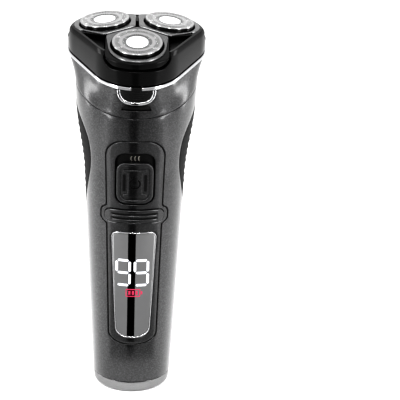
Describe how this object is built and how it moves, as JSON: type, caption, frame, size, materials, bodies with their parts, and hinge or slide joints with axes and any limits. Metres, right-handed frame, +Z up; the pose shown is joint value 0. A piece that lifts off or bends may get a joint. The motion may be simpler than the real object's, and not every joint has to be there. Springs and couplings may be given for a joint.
{
  "type": "electric shaver",
  "caption": "Cordless rotary shaver: round handle with slide switch and numeric display, flip-open tilted head with tilting pods, slotted guards and geared cutters.",
  "frame": {"origin": "centre of the foot's underside, on the surface that the shaver stands on", "axes": "+Z up along the handle's axis, -Y is the front with the control panel, +X is to the right of someone looking at the panel"},
  "size_m": [0.0612, 0.0642, 0.171],
  "materials": {
    "shell_paint": "dark metallic grey lacquer with a fine sparkle",
    "panel_paint": "dark metallic grey lacquer, satin",
    "grip_rubber": "matte black soft-touch rubber",
    "black_gloss": "polished black plastic",
    "black_matte": "moulded black plastic",
    "satin_silver": "fine satin metal",
    "chrome_bright": "polished chrome",
    "foot_metal": "brushed round the foot",
    "guard_steel": "etched and brushed shaving foil steel",
    "cutter_steel": "ground steel",
    "lens_dark": "smoked mirror window",
    "lit_white": "lit numerals",
    "lit_red": "lit battery mark",
    "board_green": "printed circuit board",
    "cell_wrap": "shrink-wrapped battery cell",
    "tab_nickel": "nickel strip",
    "motor_steel": "zinc-plated motor can",
    "spring_steel": "spring strip",
    "pin_nickel": "nickel-plated brass",
    "pinion_brass": "cut brass",
    "gear_white": "acetal gear",
    "seal_rubber": "black seal"
  },
  "bodies": {
    "handle": {"front_housing": "shell_paint", "rear_housing": "shell_paint", "rear_grip": "grip_rubber", "foot_ring": "foot_metal", "foot_cap": "black_matte", "inlet_socket": "black_matte", "charging_pins": "pin_nickel", "control_panel": "panel_paint", "accent_bar": "satin_silver", "switch_well": "black_matte", "detent_spring": "spring_steel", "display_lens": "lens_dark", "lens_bezel": "chrome_bright", "lit_digits": "lit_white", "battery_mark": "lit_red", "display_board": "black_matte", "main_board": "board_green", "battery_cell": "cell_wrap", "battery_tabs": "tab_nickel", "chassis": "black_matte", "motor_can": "motor_steel", "gear_deck": "gear_white", "gear_axles": "cutter_steel", "gear_cover": "black_matte", "spindle_seals": "seal_rubber", "neck_collar": "shell_paint", "chrome_trim": "chrome_bright", "latch_spring": "spring_steel", "hinge_pin": "cutter_steel", "hinge_base": "black_matte"},
    "slider": {"power_button": "black_gloss", "switch_carrier": "black_matte"},
    "release": {"release_button": "black_matte", "latch_slide": "black_matte"},
    "rotor": {"motor_shaft": "cutter_steel", "pinion": "pinion_brass"},
    "head": {"hinge_leaf": "black_matte", "head_frame": "black_gloss", "pod_carrier": "black_matte"},
    "gear_train_1": {"driven_gear_1": "gear_white", "drive_spindle_1": "gear_white"},
    "pod_1": {"pod_body_1": "black_gloss", "pod_plate_1": "satin_silver"},
    "guard_unit_1": {"guard_1": "guard_steel", "guard_cap_1": "chrome_bright"},
    "cutter_unit_1": {"cutter_1": "cutter_steel"},
    "gear_train_2": {"driven_gear_2": "gear_white", "drive_spindle_2": "gear_white"},
    "pod_2": {"pod_body_2": "black_gloss", "pod_plate_2": "satin_silver"},
    "guard_unit_2": {"guard_2": "guard_steel", "guard_cap_2": "chrome_bright"},
    "cutter_unit_2": {"cutter_2": "cutter_steel"},
    "gear_train_3": {"driven_gear_3": "gear_white", "drive_spindle_3": "gear_white"},
    "pod_3": {"pod_body_3": "black_gloss", "pod_plate_3": "satin_silver"},
    "guard_unit_3": {"guard_3": "guard_steel", "guard_cap_3": "chrome_bright"},
    "cutter_unit_3": {"cutter_3": "cutter_steel"}
  },
  "joints": [
    {"name": "head_open", "type": "hinge", "parent": "handle", "child": "head", "pos_m": [0, 0.03035, 0.16253], "axis": [-1, 0, 0], "range_deg": [0, 90]},
    {"name": "release_press", "type": "slide", "parent": "handle", "child": "release", "axis": [0, 1, 0], "range_m": [0, 0.001], "stiffness_N_per_m": 600, "springref_m": -0.001},
    {"name": "power_slide", "type": "slide", "parent": "handle", "child": "slider", "axis": [0, -0.0836, 0.9965], "range_m": [0, 0.0035]},
    {"name": "motor_spin", "type": "hinge", "parent": "handle", "child": "rotor", "pos_m": [0, 0.00102, 0.14972], "axis": [0, -0.2147, 0.9767], "continuous": true},
    {"name": "gear_spin_1", "type": "hinge", "parent": "handle", "child": "gear_train_1", "pos_m": [0, -0.01418, 0.14638], "axis": [0, -0.2147, 0.9767], "continuous": true},
    {"name": "pod_tilt_1", "type": "hinge", "parent": "head", "child": "pod_1", "pos_m": [0, -0.01687, 0.15812], "axis": [1, 0, 0], "range_deg": [-3, 3], "stiffness_Nm_per_rad": 0.05},
    {"name": "guard_float_1", "type": "slide", "parent": "pod_1", "child": "guard_unit_1", "axis": [0, 0.3322, -0.9432], "range_m": [0, 0.0007], "stiffness_N_per_m": 400, "springref_m": -0.001},
    {"name": "cutter_spin_1", "type": "hinge", "parent": "guard_unit_1", "child": "cutter_unit_1", "pos_m": [0, -0.01787, 0.16095], "axis": [0, -0.3322, 0.9432], "continuous": true},
    {"name": "gear_spin_2", "type": "hinge", "parent": "handle", "child": "gear_train_2", "pos_m": [0.01348, 0.00861, 0.15139], "axis": [0, -0.2147, 0.9767], "continuous": true},
    {"name": "pod_tilt_2", "type": "hinge", "parent": "head", "child": "pod_2", "pos_m": [0.01357, 0.00608, 0.16317], "axis": [-0.5, 0.8458, 0.186], "range_deg": [-3, 3], "stiffness_Nm_per_rad": 0.05},
    {"name": "guard_float_2", "type": "slide", "parent": "pod_2", "child": "guard_unit_2", "axis": [-0.1055, 0.1536, -0.9825], "range_m": [0, 0.0007], "stiffness_N_per_m": 400, "springref_m": -0.001},
    {"name": "cutter_spin_2", "type": "hinge", "parent": "guard_unit_2", "child": "cutter_unit_2", "pos_m": [0.01389, 0.00562, 0.16611], "axis": [0.1055, -0.1536, 0.9825], "continuous": true},
    {"name": "gear_spin_3", "type": "hinge", "parent": "handle", "child": "gear_train_3", "pos_m": [-0.01348, 0.00861, 0.15139], "axis": [0, -0.2147, 0.9767], "continuous": true},
    {"name": "pod_tilt_3", "type": "hinge", "parent": "head", "child": "pod_3", "pos_m": [-0.01357, 0.00608, 0.16317], "axis": [-0.5, -0.8458, -0.186], "range_deg": [-3, 3], "stiffness_Nm_per_rad": 0.05},
    {"name": "guard_float_3", "type": "slide", "parent": "pod_3", "child": "guard_unit_3", "axis": [0.1055, 0.1536, -0.9825], "range_m": [0, 0.0007], "stiffness_N_per_m": 400, "springref_m": -0.001},
    {"name": "cutter_spin_3", "type": "hinge", "parent": "guard_unit_3", "child": "cutter_unit_3", "pos_m": [-0.01389, 0.00562, 0.16611], "axis": [-0.1055, -0.1536, 0.9825], "continuous": true}
  ],
  "couplings": [
    {"joint": "gear_spin_1", "follows": "motor_spin", "ratio": -0.76923},
    {"joint": "cutter_spin_1", "follows": "motor_spin", "ratio": -0.76923},
    {"joint": "gear_spin_2", "follows": "motor_spin", "ratio": -0.76923},
    {"joint": "cutter_spin_2", "follows": "motor_spin", "ratio": -0.76923},
    {"joint": "gear_spin_3", "follows": "motor_spin", "ratio": -0.76923},
    {"joint": "cutter_spin_3", "follows": "motor_spin", "ratio": -0.76923}
  ]
}
